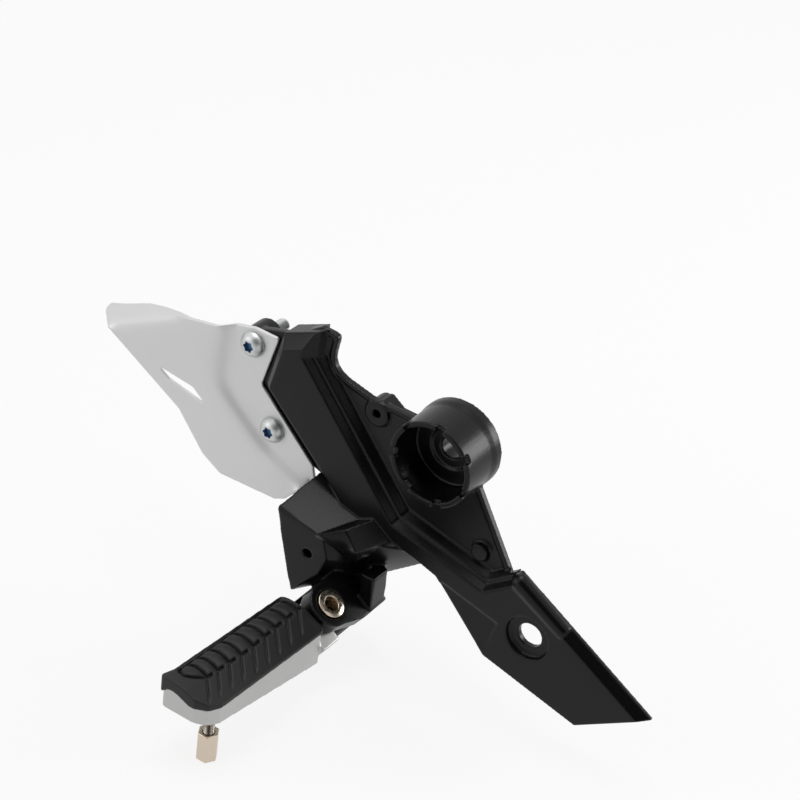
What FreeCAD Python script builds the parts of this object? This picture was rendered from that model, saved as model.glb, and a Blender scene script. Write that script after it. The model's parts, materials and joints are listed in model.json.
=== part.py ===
"""Right-hand motorcycle footrest hanger with heel guard and folding footpeg.

Frame: +X forward, +Y inboard, +Z up, millimetres. The origin is the axis of the frame bolt
on the inboard mounting face of the castellated cup, so outboard surfaces have negative Y.
"""
import FreeCAD
import Part
import Sketcher
import math
import os

Vector = FreeCAD.Vector
Rotation = FreeCAD.Rotation
Placement = FreeCAD.Placement

# Driving sizes, each written once. Depths count outboard from the mounting face.
SIZES = {
    # frame bolt cup
    "cup_diameter": 48.0,
    "cup_wall": 3.2,
    "cup_length": 30.0,
    "cup_floor": 10.0,
    "cup_seat": 24.0,
    "cup_seat_depth": 1.0,
    "collar_diameter": 49.4,
    "collar_length": 5.0,
    "collar_taper": 4.0,
    "frame_bore": 12.0,
    "notch_width": 4.6,
    "notch_depth": 3.2,
    "notch_count": 7,
    "notch_start": 20.0,
    # levels of the cast plate
    "face_depth": 20.0,
    "shoulder_depth": 15.0,
    "floor_depth": 10.0,
    "floor_skin": 2.8,
    "wall_back": 3.0,
    "fin_back": 13.0,
    "skin": 4.0,
    "wall": 4.0,
    "ledge": 1.4,
    "step_slope": 3.2,
    "lip_height": 1.2,
    "lip_width": 2.6,
    "floor_corner": 2.5,
    # lugs and small bosses of the cast plate
    "boss_x": -44.8,
    "boss_z": 1.2,
    "boss_diameter": 14.6,
    "boss_depth": 12.0,
    "boss_hole": 4.6,
    "stud_x": 27.0,
    "stud_z": -50.6,
    "stud_diameter": 10.0,
    "stud_height": 3.5,
    "fin_hole_x": 65.5,
    "fin_hole_z": -81.5,
    "fin_hole": 14.0,
    "fin_seat": 25.0,
    "fin_seat_sink": 3.0,
    "rib_radius": 5.2,
    "rib_tip_radius": 4.5,
    "rib_length": 34.0,
    "rib_depth": 16.2,
    "fin_step": 0.8,
    "fin_step_width": 26.0,
    "fin_step_length": 37.0,
    # heel guard sheet and its two screws
    "guard_sheet": 2.0,
    "guard_flange_depth": 12.0,
    "guard_joggle": 6.0,
    "guard_corner": 2.0,
    "upper_screw_x": -125.0,
    "upper_screw_z": 8.5,
    "lower_screw_x": -107.5,
    "lower_screw_z": -38.0,
    "screw_thread": 7.8,
    "screw_hole_gap": 0.35,
    "screw_head_diameter": 15.0,
    "screw_head_height": 5.0,
    "screw_drive": 6.0,
    "screw_drive_depth": 2.6,
    "screw_length": 28.0,
    "lug_diameter": 18.0,
    "lug_length": 13.0,
    # peg pivot
    "pin_x": -34.4,
    "pin_z": -95.0,
    "pin_depth": 50.0,
    "pin_tilt": 55.0,
    "pin_diameter": 11.0,
    "pin_head_diameter": 15.6,
    "pin_head_height": 2.4,
    "pin_bore": 8.4,
    "pin_tail": 4.5,
    "pin_running_gap": 0.05,
    "ear_radius": 12.5,
    "upper_ear": 9.0,
    "lower_ear": 8.0,
    "ear_gap": 18.0,
    "counterbore": 1.6,
    "heel_front": -22.0,
    "heel_length": 8.0,
    "heel_depth": 14.0,
    "heel_outboard": 31.0,
    "heel_top": -84.0,
    "heel_height": 21.0,
    "pad_length": 30.0,
    "pad_width": 13.5,
    "pad_rise": 2.5,
    "pad_height": 7.5,
    "pad_root": 10.0,
    "pad_draft_rear": 13.0,
    "pad_draft_low": 2.0,
    "pad_x": -36.4,
    "pad_depth": 34.0,
    "pad_z": -74.8,
    "face_hole_x": -59.5,
    "face_hole_z": -80.9,
    "face_hole": 5.5,
    "side_gap": 0.4,
    "tongue_radius": 9.5,
    "tang_reach": 17.4,
    "spring_wire": 1.5,
    "spring_turns": 3,
    "spring_radius": 7.6,
    "washer_diameter": 17.0,
    "washer_thickness": 1.2,
    "circlip_thickness": 1.1,
    "circlip_diameter": 15.0,
    "groove_depth": 0.6,
    # footpeg
    "peg_tip_depth": 154.0,
    "peg_root_gap": 0.6,
    "peg_base_top": -103.5,
    "peg_base_thickness": 9.5,
    "peg_root_drop": 11.0,
    "peg_tip_rear": -64.5,
    "peg_tip_front": -33.0,
    "peg_root_rear": -57.0,
    "peg_root_front": -29.5,
    "peg_corner": 2.5,
    "peg_flare": 3.4,
    "peg_rise": 3.8,
    "peg_rise_depth": 6.0,
    "peg_front_corner": 9.0,
    "rubber_thickness": 10.2,
    "rubber_overhang": 0.9,
    "rubber_groove": 1.8,
    "rubber_ribs": 8,
    "rubber_pitch": 9.0,
    "rubber_rib_start": 7.2,
    "tread_width": 17.0,
    "tread_crown": 2.6,
    "tread_crease": 13.0,
    "tread_edge": 2.4,
    "feeler_thread": 6.0,
    "feeler_length": 29.0,
    "feeler_x": -38.2,
    "feeler_setback": 8.0,
    "feeler_hex": 10.0,
    "feeler_hex_length": 17.0,
    "feeler_hex_drop": 8.0,
}

# Corners of the raised band and fin at the shoulder, clockwise from the top rear: name, X, Z.
BAND = [
    ("panel_top_rear", -104.0, 26.0),
    ("panel_top_front", -84.0, 35.0),
    ("ridge_top", -85.0, 19.5),
    ("ridge_bend", -26.0, -46.5),
    ("ridge_turn", -21.5, -51.5),
    ("ridge_end", 36.0, -64.5),
    ("fin_root", 56.2, -48.6),
    ("fin_tip", 139.4, -96.6),
    ("fin_bottom", 101.7, -121.4),
    ("fin_corner", 41.5, -106.8),
    ("fin_start", 7.0, -73.0),
    ("band_low", -3.0, -70.0),
    ("panel_low", -57.0, -59.0),
    ("panel_rear", -112.0, -9.0),
]

# Width of the slope between shoulder and face on the side that starts at each band corner.
SLOPES = {
    "panel_top_rear": 8.0,
    "panel_top_front": 4.0,
    "ridge_top": 3.0,
    "ridge_bend": 3.0,
    "ridge_turn": 3.0,
    "ridge_end": 2.5,
    "fin_root": 4.4,
    "fin_tip": 2.0,
    "fin_bottom": 1.2,
    "fin_corner": 1.2,
    "fin_start": 1.2,
    "band_low": 1.6,
    "panel_low": 4.0,
    "panel_rear": 4.5,
}

# Corners of the recessed floor plate, clockwise from its top: name, X, Z.
FLOOR = [
    ("floor_top", -84.5, 36.2),
    ("floor_top_front", -73.0, 35.0),
    ("floor_neck", -74.5, 24.8),
    ("floor_bend", -74.6, 20.3),
    ("floor_turn", -73.2, 16.8),
    ("floor_dip", -70.2, 14.0),
    ("floor_run", -65.5, 12.0),
    ("floor_boss", -49.0, 8.2),
    ("floor_cup_top", -14.0, 8.0),
    ("floor_cup_front", 19.5, -13.0),
    ("floor_front", 45.6, -55.0),
    ("floor_under_fin", 42.0, -70.0),
    ("floor_under_band", -30.0, -60.0),
    ("floor_under_panel", -97.0, 10.0),
    ("floor_under_top", -97.0, 28.0),
]

# Corners of the thick web between the small boss and the cup: X, Z.
BOSS_WEB = [(-54, 1), (-47.8, 6.7), (-43.1, 9.4), (-35.5, 4.3), (-29.3, 4.1), (-10, 3), (-10, -8), (-48, -8)]

# Corners of the fin where its back is cut away to a thin blade: X, Z.
FIN_THIN = [(44, -30), (160, -80), (150, -140), (45, -140), (45, -67), (48, -56), (44, -48)]

# Direction of the creases down the tread's front.
CREASE = Vector(10.3, -12.0, -4.6)

# Heel guard outline, clockwise from the tip. The last side follows the panel's rear wall.
GUARD = [
    ("guard_tip_low", -228.0, -15.0),
    ("guard_tip", -225.8, -11.4),
    ("guard_top_tip", -216.0, -7.4),
    ("guard_top_a", -197.5, 1.2),
    ("guard_top_b", -184.5, 5.4),
    ("guard_top_c", -172.0, 8.6),
    ("guard_top_d", -145.0, 13.6),
    ("guard_top_e", -125.0, 18.6),
    ("guard_front_top", -109.0, 18.6),
    ("guard_front_bend", -117.8, -14.0),
    ("guard_front_low", -79.8, -49.2),
    ("guard_low_front", -77.5, -57.0),
    ("guard_low_mid", -92.0, -73.5),
    ("guard_low_a", -98.5, -76.6),
    ("guard_low_b", -136.0, -78.0),
    ("guard_low_c", -149.0, -70.5),
    ("guard_rear", -167.0, -49.5),
]

# Fold lines of the guard: corners of its outboard field, and of the foot of its slopes.
GUARD_FIELD = [(-236, -29), (-162.5, 10.5), (-144.5, 16), (-147.6, -20), (-141, -30), (-111, -54),
               (-60, -74), (-80, -120), (-240, -60)]
GUARD_FOOT = [(-242, -17), (-168.5, 22.5), (-129, 24), (-131.6, -16), (-127, -23), (-104, -41.5),
              (-52, -61), (-80, -120), (-240, -60)]
GUARD_FLANGE = [(-152, 40), (-80, 40), (-50, -50), (-70, -100), (-112, -48), (-146, -18)]
GUARD_SLOT = [(-182.6, -28.8), (-158.6, -31.6), (-149.4, -38.6), (-174.6, -33.6)]

doc = FreeCAD.newDocument("footrest_hanger")
sheet = doc.addObject("Spreadsheet::Sheet", "sizes")


def fill_sheet():
    """Write every driving size to the sheet, each with an alias of the same name."""
    cells = list(SIZES.items())
    for corners in (BAND, FLOOR, GUARD):
        for name, x, z in corners:
            cells.append((name + "_x", x))
            cells.append((name + "_z", z))
    cells += [("slope_" + name, width) for name, width in SLOPES.items()]
    for row, (name, value) in enumerate(cells, start=1):
        sheet.set(f"A{row}", name)
        sheet.set(f"B{row}", str(value))
        sheet.setAlias(f"B{row}", name)
    doc.recompute()


def size(name):
    """Value of one named size."""
    return float(sheet.get(name))


def bind(obj, **expressions):
    """Tie properties of an object to expressions of the sheet's aliases."""
    for prop, expression in expressions.items():
        obj.setExpression(prop.replace("__", "."), expression)
    return obj


def closed_sketch(name, corners, named=False):
    """Closed sketch of straight sides through the corners, dimensioned from its origin."""
    sketch = doc.addObject("Sketcher::SketchObject", name)
    points = [Vector(c[-2], c[-1], 0) for c in corners]
    for start, end in zip(points, points[1:] + points[:1]):
        sketch.addGeometry(Part.LineSegment(start, end))
    count = len(points)
    for i in range(count):
        sketch.addConstraint(Sketcher.Constraint("Coincident", i, 2, (i + 1) % count, 1))
    for i, corner in enumerate(corners):
        across = sketch.addConstraint(Sketcher.Constraint("DistanceX", -1, 1, i, 1, points[i].x))
        up = sketch.addConstraint(Sketcher.Constraint("DistanceY", -1, 1, i, 1, points[i].y))
        if named:
            sketch.setExpression(f"Constraints[{across}]", f"sizes.{corner[0]}_x")
            sketch.setExpression(f"Constraints[{up}]", f"sizes.{corner[0]}_z")
    return sketch


def side_plan(name, corners, depth, named=False):
    """XZ outline on the plane that lies depth outboard of the mounting face."""
    sketch = closed_sketch(name, corners, named)
    sketch.Placement = Placement(Vector(0, 0, 0), Rotation(Vector(1, 0, 0), 90))
    sketch.setExpression("Placement.Base.y", f"-({depth})")
    return sketch


def top_plan(name, corners, height):
    """XY outline at a height."""
    sketch = closed_sketch(name, corners)
    sketch.setExpression("Placement.Base.z", height)
    return sketch


OUTBOARD = Vector(0, -1, 0)
INBOARD = Vector(0, 1, 0)
UP = Vector(0, 0, 1)


def extrude(name, sketch, direction, length):
    """Prism on a sketch along a direction, its length an expression."""
    prism = doc.addObject("Part::Extrusion", name)
    prism.Base = sketch
    prism.DirMode = "Custom"
    prism.Dir = direction
    prism.Solid = True
    return bind(prism, LengthFwd=length)


def loft(name, sections):
    """Solid with flat sides between sketches of the same number of corners."""
    solid = doc.addObject("Part::Loft", name)
    solid.Sections = sections
    solid.Solid = True
    solid.Ruled = True
    return solid


def fuse(name, shapes):
    """Union of several objects."""
    union = doc.addObject("Part::MultiFuse", name)
    union.Shapes = shapes
    union.Refine = True
    return union


def cut(name, base, tool):
    """Base less tool."""
    result = doc.addObject("Part::Cut", name)
    result.Base = base
    result.Tool = tool
    result.Refine = True
    return result


def common(name, first, second):
    """Shared volume of two objects."""
    result = doc.addObject("Part::Common", name)
    result.Base = first
    result.Tool = second
    result.Refine = True
    return result


def cylinder(name, diameter, length, placement=None):
    """Cylinder whose diameter and length are expressions."""
    solid = doc.addObject("Part::Cylinder", name)
    bind(solid, Radius=f"({diameter}) / 2", Height=length)
    if placement:
        solid.Placement = placement
    return solid


def lateral(name, diameter, x, z, back, front):
    """Cylinder along Y at X, Z between two depths, all expressions."""
    solid = cylinder(name, diameter, f"({front}) - ({back})")
    solid.Placement = Placement(Vector(0, 0, 0), Rotation(Vector(1, 0, 0), 90))
    solid.setExpression("Placement.Base.x", x)
    solid.setExpression("Placement.Base.y", f"-({back})")
    solid.setExpression("Placement.Base.z", z)
    return solid


def inset(corners, widths):
    """Corners of the outline whose sides lie inside the given one by a width each."""
    count = len(corners)
    lines = []
    for i in range(count):
        x0, z0 = corners[i][-2:]
        x1, z1 = corners[(i + 1) % count][-2:]
        length = math.hypot(x1 - x0, z1 - z0)
        dx, dz = (x1 - x0) / length, (z1 - z0) / length
        lines.append((x0 + dz * widths[i], z0 - dx * widths[i], dx, dz))
    inner = []
    for i in range(count):
        ax, az, adx, adz = lines[i - 1]
        bx, bz, bdx, bdz = lines[i]
        turn = adx * bdz - adz * bdx
        along = ((bx - ax) * bdz - (bz - az) * bdx) / turn
        inner.append((ax + adx * along, az + adz * along))
    return inner


def round_edges(name, base, radius, chosen):
    """Fillet the edges of a base that a test picks, all with one radius."""
    doc.recompute()
    fillet = doc.addObject("Part::Fillet", name)
    fillet.Base = base
    picked = [i for i, edge in enumerate(base.Shape.Edges, start=1) if chosen(edge)]
    fillet.Edges = [(i, radius, radius) for i in picked]
    return fillet


def upright(edge):
    """Whether an edge is straight and runs along Z."""
    low, high = edge.Vertexes[0].Point, edge.Vertexes[-1].Point
    return abs(low.x - high.x) + abs(low.y - high.y) < 1e-6 and abs(low.z - high.z) > 1e-6


def crosswise(edge):
    """Whether an edge is straight and runs along Y."""
    first, last = edge.Vertexes[0].Point, edge.Vertexes[-1].Point
    return abs(first.x - last.x) + abs(first.z - last.z) < 1e-6 and abs(first.y - last.y) > 1e-6


def pivot_frame(obj):
    """Place an object built round Z so that Z is the pivot pin's axis, zero at its head."""
    obj.Placement = Placement(Vector(0, 0, 0), Rotation(Vector(0, 1, 0), 45))
    obj.setExpression("Placement.Base.x", "sizes.pin_x")
    obj.setExpression("Placement.Base.y", "-sizes.pin_depth")
    obj.setExpression("Placement.Base.z", "sizes.pin_z")
    obj.setExpression("Placement.Rotation.Angle", "(90 - sizes.pin_tilt) * 1deg")
    return obj


def stacked(name, diameter, low, high):
    """Cylinder round the pivot axis between two heights, to be placed by pivot_frame."""
    solid = cylinder(name, diameter, f"({high}) - ({low})")
    solid.setExpression("Placement.Base.z", low)
    return solid


def block(name, x, y, z, low):
    """Box of three expressions whose low corner is given by three more."""
    solid = doc.addObject("Part::Box", name)
    bind(solid, Length=x, Width=y, Height=z)
    for axis, expression in zip("xyz", low):
        solid.setExpression(f"Placement.Base.{axis}", expression)
    return solid


# Heights along the pivot axis, counted from the outer face of the pin's head.
SEAT = "(-sizes.pin_head_height)"
EAR_TOP = f"({SEAT} + sizes.counterbore)"
GAP_TOP = f"({SEAT} - sizes.upper_ear)"
GAP_LOW = f"({GAP_TOP} - sizes.ear_gap)"
EAR_LOW = f"({GAP_LOW} - sizes.lower_ear)"
WASHER_LOW = f"({EAR_LOW} - sizes.washer_thickness)"
CLIP_LOW = f"({WASHER_LOW} - sizes.circlip_thickness)"
PIN_LOW = f"({CLIP_LOW} - sizes.pin_tail)"
SPRING_TOP = f"({GAP_LOW} + sizes.side_gap + sizes.spring_wire * sizes.spring_turns)"
TONGUE_LOW = f"({SPRING_TOP} + sizes.side_gap)"
TONGUE_TOP = f"({GAP_TOP} - sizes.side_gap)"
PEG_ROOT = "(sizes.pin_depth + sizes.ear_radius + sizes.peg_root_gap)"
PIN_HOLE = "(sizes.pin_diameter + 2 * sizes.pin_running_gap)"


def cup_voids():
    """Inside of the cup, the frame bolt's bore and the notches of the rim."""
    inside = lateral("cup_inside", "sizes.cup_diameter - 2 * sizes.cup_wall", "0", "0",
                     "sizes.cup_floor", "sizes.cup_length + 1")
    bore = lateral("cup_bore", "sizes.frame_bore", "0", "0", "-1", "sizes.cup_floor + 1")
    seat = lateral("cup_seat", "sizes.cup_seat", "0", "0", "sizes.cup_floor - sizes.cup_seat_depth",
                   "sizes.cup_floor + 1")
    voids = [inside, bore, seat]
    for i in range(int(size("notch_count"))):
        turn = f"((sizes.notch_start + {i} * 360 / sizes.notch_count) * 1deg)"
        notch = block(f"notch_{i}", "sizes.cup_diameter", "sizes.notch_depth + 1", "sizes.notch_width",
                      (f"-sizes.notch_width / 2 * sin{turn}", "-sizes.cup_length - 1",
                       f"-sizes.notch_width / 2 * cos{turn}"))
        notch.Placement.Rotation = Rotation(Vector(0, 1, 0), 45)
        notch.setExpression("Placement.Rotation.Angle", turn)
        voids.append(notch)
    return voids


def band_solids():
    """Raised band and fin: sloped face, straight walls and the ledge beside the ridge."""
    shoulder = side_plan("band_shoulder", BAND, "sizes.shoulder_depth", named=True)
    face_corners = inset(BAND, [size("slope_" + name) for name, _, _ in BAND])
    face = side_plan("band_face", face_corners, "sizes.face_depth")
    slopes = loft("band_slopes", [shoulder, face])
    walls = extrude("band_walls", shoulder, INBOARD, "sizes.shoulder_depth - sizes.wall_back")
    first, last = 1, 6
    ledge_widths = [-size("ledge") if first <= i < last else 0.01 for i in range(len(BAND))]
    foot_widths = [w - size("step_slope") if w < 0 else w for w in ledge_widths]
    ledge = side_plan("ledge_edge", inset(BAND, ledge_widths), "sizes.shoulder_depth")
    foot = side_plan("ledge_foot", inset(BAND, foot_widths), "sizes.floor_depth")
    return [slopes, walls, loft("ledge_slopes", [ledge, foot])]


def floor_solids():
    """Recessed floor with a raised lip along its front edge, bosses and the web to the cup."""
    top = "sizes.floor_depth + sizes.lip_height"
    outline = side_plan("floor_outline", FLOOR, top, named=True)
    slab = extrude("floor_slab", outline, INBOARD, "sizes.floor_skin + sizes.lip_height")
    sink_corners = inset(FLOOR, [size("lip_width")] * len(FLOOR))
    sink = extrude("floor_sink", side_plan("sink_outline", sink_corners, "sizes.floor_depth"),
                   OUTBOARD, "sizes.lip_height + 1")
    floor = cut("floor", round_edges("floor_round", slab, size("floor_corner"), crosswise),
                round_edges("sink_round", sink, size("floor_corner"), crosswise))
    boss = lateral("small_boss", "sizes.boss_diameter", "sizes.boss_x", "sizes.boss_z",
                   "0", "sizes.boss_depth")
    stud = lateral("stud", "sizes.stud_diameter", "sizes.stud_x", "sizes.stud_z",
                   "sizes.floor_depth - 1", "sizes.floor_depth + sizes.stud_height")
    web = extrude("boss_web", side_plan("boss_web_outline", BOSS_WEB, "sizes.floor_depth"), INBOARD,
                  "sizes.floor_depth")
    return [floor, boss, stud, web]


def guard_lugs():
    """Two tapped lugs behind the heel guard and the web that carries them."""
    front = "sizes.guard_flange_depth - sizes.guard_sheet"
    lugs = [lateral(f"lug_{end}", "sizes.lug_diameter", f"sizes.{end}_screw_x", f"sizes.{end}_screw_z",
                    f"{front} - sizes.lug_length", front) for end in ("upper", "lower")]
    reach = size("lug_diameter") / 2
    upper = (size("upper_screw_x"), size("upper_screw_z"))
    lower = (size("lower_screw_x"), size("lower_screw_z"))
    inner = dict((name, (x, z)) for name, x, z in BAND)
    web_corners = [
        (upper[0] - 0.5 * reach, upper[1] + 0.8 * reach),
        (inner["panel_top_rear"][0] + reach, inner["panel_top_rear"][1]),
        (inner["panel_rear"][0] + 2 * reach, inner["panel_rear"][1]),
        (inner["panel_low"][0], inner["panel_low"][1]),
        (lower[0] + 0.8 * reach, lower[1] - 0.6 * reach),
        (lower[0] - 0.9 * reach, lower[1]),
        (upper[0] - 0.9 * reach, upper[1] - 0.4 * reach),
    ]
    web = extrude("lug_web", side_plan("lug_web_outline", web_corners, front), INBOARD, "sizes.floor_skin + 2")
    return lugs + [web]


BRACKET_ROOT = [(-73, -47), (8, -66), (-29, -96), (-34, -108), (-64, -120)]
BRACKET_FACE = [(-82, -61), (-51, -66), (-46.5, -78), (-51.4, -90.5), (-68, -110.6)]


# Directions of the raised pad on the arm: along it and across it.
PAD_ALONG = Vector(0.465, 0.874, 0.154)
PAD_ACROSS = Vector(-0.731, 0.278, 0.629)


def pad_sketch(name, corners, height):
    """Sketch in the plane of the raised pad, lifted from its lowest corner by an expression."""
    out = PAD_ALONG.cross(PAD_ACROSS)
    sketch = closed_sketch(name, corners)
    sketch.Placement = Placement(Vector(0, 0, 0), Rotation(PAD_ALONG, PAD_ACROSS, out, "XYZ"))
    sketch.setExpression("Placement.Base.x", f"sizes.pad_x + ({height}) * {out.x:.4f}")
    sketch.setExpression("Placement.Base.y", f"-sizes.pad_depth + ({height}) * ({out.y:.4f})")
    sketch.setExpression("Placement.Base.z", f"sizes.pad_z + ({height}) * {out.z:.4f}")
    return sketch


def pad_solids():
    """Raised pad on the arm: a root sunk in the arm and drafted sides up to its flat top."""
    length, width = size("pad_length"), size("pad_width")
    rear, low = size("pad_draft_rear"), size("pad_draft_low")
    foot_corners = [(0.14 * rear, -low), (length, -low), (length, width + 1.6 * low), (-rear, width + 1.6 * low)]
    top_corners = [(0, 0), (length, 0), (length, width), (0, width)]
    foot = pad_sketch("pad_foot", foot_corners, "sizes.pad_rise")
    top = pad_sketch("pad_top", top_corners, "sizes.pad_rise + sizes.pad_height")
    root = extrude("pad_root_prism", foot, PAD_ACROSS.cross(PAD_ALONG), "sizes.pad_root")
    return [root, loft("pad_sides", [foot, top])]


def bracket_solids():
    """Arm that carries the peg: a tapered block, its heel and the two ears of the pivot."""
    root = side_plan("bracket_root", BRACKET_ROOT, "sizes.floor_depth - 2")
    face = side_plan("bracket_face", BRACKET_FACE, "sizes.pin_depth - sizes.tongue_radius - 0.5")
    solids = [loft("bracket_arm", [root, face])]
    solids.append(block("bracket_heel", "sizes.heel_length", "sizes.heel_depth", "sizes.heel_height",
                        ("sizes.heel_front - sizes.heel_length", "-sizes.heel_outboard",
                         "sizes.heel_top - sizes.heel_height")))
    solids += pad_solids()
    flare = [(-1.0, 0.0), (1.0, 0.0), (1.32, 1.05), (1.32, 2.8), (-1.0, 2.8)]
    radius = size("ear_radius")
    for name, low, high in (("upper", GAP_TOP, EAR_TOP), ("lower", EAR_LOW, GAP_LOW)):
        boss = stacked(f"{name}_ear_boss", "2 * sizes.ear_radius", low, high)
        outline = top_plan(f"{name}_ear_outline", [(x * radius, y * radius) for x, y in flare], low)
        web = extrude(f"{name}_ear_web", outline, UP, f"({high}) - ({low})")
        solids.append(pivot_frame(fuse(f"{name}_ear", [boss, web])))
    return solids


def bracket_voids():
    """Room for the tongue between the ears, the pin's hole and the seat of its head."""
    reach = "(sizes.tongue_radius + 1.2)"
    room = stacked("tongue_room", f"2 * {reach}", GAP_LOW, GAP_TOP)
    mouth = block("tongue_mouth", f"2 * {reach} + 8", "sizes.ear_radius + 2", f"({GAP_TOP}) - ({GAP_LOW})",
                  (f"-{reach} - 4", "-sizes.ear_radius - 2", GAP_LOW))
    hole = stacked("pin_hole", PIN_HOLE, f"{EAR_LOW} - 1", "5")
    seat = stacked("pin_seat", "sizes.pin_head_diameter + 1.2", SEAT, "30")
    under = stacked("washer_seat", "sizes.washer_diameter + 1", f"{EAR_LOW} - 30", EAR_LOW)
    small = lateral("face_hole", "sizes.face_hole", "sizes.face_hole_x", "sizes.face_hole_z",
                    "sizes.pin_depth - sizes.tongue_radius - 8", "sizes.pin_depth")
    return [pivot_frame(fuse("pivot_voids", [room, mouth, hole, seat, under])), small]


def back_pockets():
    """Hollow back of the casting: pockets that leave an outer skin, walls and ribs."""
    corners = dict((name, (x, z)) for name, x, z in BAND)
    wall = size("wall")
    panel = [corners["panel_top_rear"], (-86, 18), (-60, -12), (-84, -30), corners["panel_rear"]]
    middle = [(-58, -14), (-34, -40), (-52, -52), (-82, -32)]
    fin = [(78, -66), corners["fin_tip"], corners["fin_bottom"], (72, -106)]
    band = [(-8, -60), (40, -71), (52, -60), (50, -96), (40, -98), (12, -72)]
    pockets = []
    for name, outline in (("panel", panel), ("middle", middle), ("fin", fin), ("band", band)):
        inner = inset(outline, [wall] * len(outline))
        sketch = side_plan(f"{name}_pocket_outline", inner, "sizes.wall_back - 1")
        pockets.append(extrude(f"{name}_pocket", sketch, OUTBOARD,
                               "sizes.face_depth - sizes.skin - sizes.wall_back + 1"))
    return pockets


def fin_rib():
    """Half-round rib along the fin's upper edge, thickest at its root."""
    corners = dict((name, Vector(x, 0, z)) for name, x, z in BAND)
    along = (corners["fin_tip"] - corners["fin_root"]).normalize()
    cone = doc.addObject("Part::Cone", "fin_rib")
    bind(cone, Radius1="sizes.rib_radius", Radius2="sizes.rib_tip_radius", Height="sizes.rib_length")
    ball = doc.addObject("Part::Sphere", "fin_rib_end")
    bind(ball, Radius="sizes.rib_radius")
    for solid in (cone, ball):
        solid.Placement = Placement(Vector(0, 0, 0), Rotation(UP, along))
        solid.setExpression("Placement.Base.x", "sizes.fin_root_x - 0.2 * sizes.rib_radius")
        solid.setExpression("Placement.Base.y", "-sizes.rib_depth")
        solid.setExpression("Placement.Base.z", "sizes.fin_root_z - 0.85 * sizes.rib_radius")
    return [cone, ball]


def fin_step():
    """Shallow wedge cut into the fin's face, deepest along its upper line."""
    along = Vector(0.974, 0, -0.225)
    across = Vector(-0.225, 0, -0.974)
    width = size("fin_step_width")
    sketch = closed_sketch("fin_step_section", [(0, -size("fin_step")), (width, 0), (width, 1), (0, 1)])
    sketch.Placement = Placement(Vector(0, 0, 0), Rotation(across, OUTBOARD, across.cross(OUTBOARD), "XYZ"))
    sketch.setExpression("Placement.Base.x", "sizes.fin_start_x + 4.5")
    sketch.setExpression("Placement.Base.y", "-sizes.face_depth")
    sketch.setExpression("Placement.Base.z", "sizes.fin_start_z - 0.3")
    return extrude("fin_step", sketch, along, "sizes.fin_step_length")


def casting():
    """The die-cast hanger: band, fin, floor, cup, bosses, guard lugs and peg bracket."""
    outer = lateral("cup_outer", "sizes.cup_diameter", "0", "0", "0", "sizes.cup_length")
    collar = lateral("cup_collar", "sizes.collar_diameter", "0", "0", "0", "sizes.collar_length")
    taper = doc.addObject("Part::Cone", "cup_taper")
    bind(taper, Radius1="sizes.collar_diameter / 2", Radius2="sizes.cup_diameter / 2", Height="sizes.collar_taper")
    taper.Placement = Placement(Vector(0, 0, 0), Rotation(Vector(1, 0, 0), 90))
    taper.setExpression("Placement.Base.y", "-sizes.collar_length")
    solids = band_solids() + floor_solids() + guard_lugs() + bracket_solids() + fin_rib() + [outer, collar, taper]
    voids = cup_voids() + bracket_voids() + back_pockets() + [fin_step()]
    voids.append(lateral("fin_hole", "sizes.fin_hole", "sizes.fin_hole_x", "sizes.fin_hole_z", "-5", "40"))
    voids.append(lateral("fin_seat", "sizes.fin_seat", "sizes.fin_hole_x", "sizes.fin_hole_z",
                         "sizes.face_depth - sizes.fin_seat_sink", "40"))
    thin = side_plan("fin_thin_outline", FIN_THIN, "sizes.fin_back")
    voids.append(extrude("fin_thin", thin, INBOARD, "sizes.fin_back + 1"))
    voids.append(lateral("boss_hole", "sizes.boss_hole", "sizes.boss_x", "sizes.boss_z", "4", "40"))
    for end in ("upper", "lower"):
        voids.append(lateral(f"{end}_lug_hole", "sizes.screw_thread + 0.1", f"sizes.{end}_screw_x",
                             f"sizes.{end}_screw_z", "-20", "40"))
    return cut("hanger_casting", fuse("casting_solids", solids), fuse("casting_voids", voids))


def guard_block(name, lift):
    """Solid under the guard's outboard surface, moved inboard by an expression."""
    field_depth = f"sizes.guard_flange_depth + sizes.guard_joggle - ({lift})"
    flange_depth = f"sizes.guard_flange_depth - ({lift})"
    field = side_plan(f"{name}_field", GUARD_FIELD, field_depth)
    foot = side_plan(f"{name}_foot", GUARD_FOOT, f"{field_depth} - 2 * sizes.guard_joggle")
    flange = side_plan(f"{name}_flange", GUARD_FLANGE, flange_depth)
    field_solid = loft(f"{name}_field_solid", [field, foot])
    return fuse(name, [field_solid, extrude(f"{name}_flange_solid", flange, INBOARD, "sizes.guard_joggle")])


def heel_guard():
    """Pressed sheet with a joggled screw flange, a folded top lip and a slot."""
    sheet_solid = cut("guard_sheet_solid", guard_block("guard_outside", "0"),
                      guard_block("guard_inside", "sizes.guard_sheet"))
    trim = extrude("guard_trim", side_plan("guard_outline", GUARD, "30", named=True), INBOARD, "40")
    outline = round_edges("guard_trim_round", trim, size("guard_corner"), crosswise)
    voids = [extrude("guard_slot", side_plan("guard_slot_outline", GUARD_SLOT, "30"), INBOARD, "40")]
    for end in ("upper", "lower"):
        voids.append(lateral(f"{end}_guard_hole", "sizes.screw_thread + 2 * sizes.screw_hole_gap",
                             f"sizes.{end}_screw_x", f"sizes.{end}_screw_z", "-20", "40"))
    trimmed = common("guard_trimmed", sheet_solid, outline)
    return cut("heel_guard", trimmed, fuse("guard_voids", voids))


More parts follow.
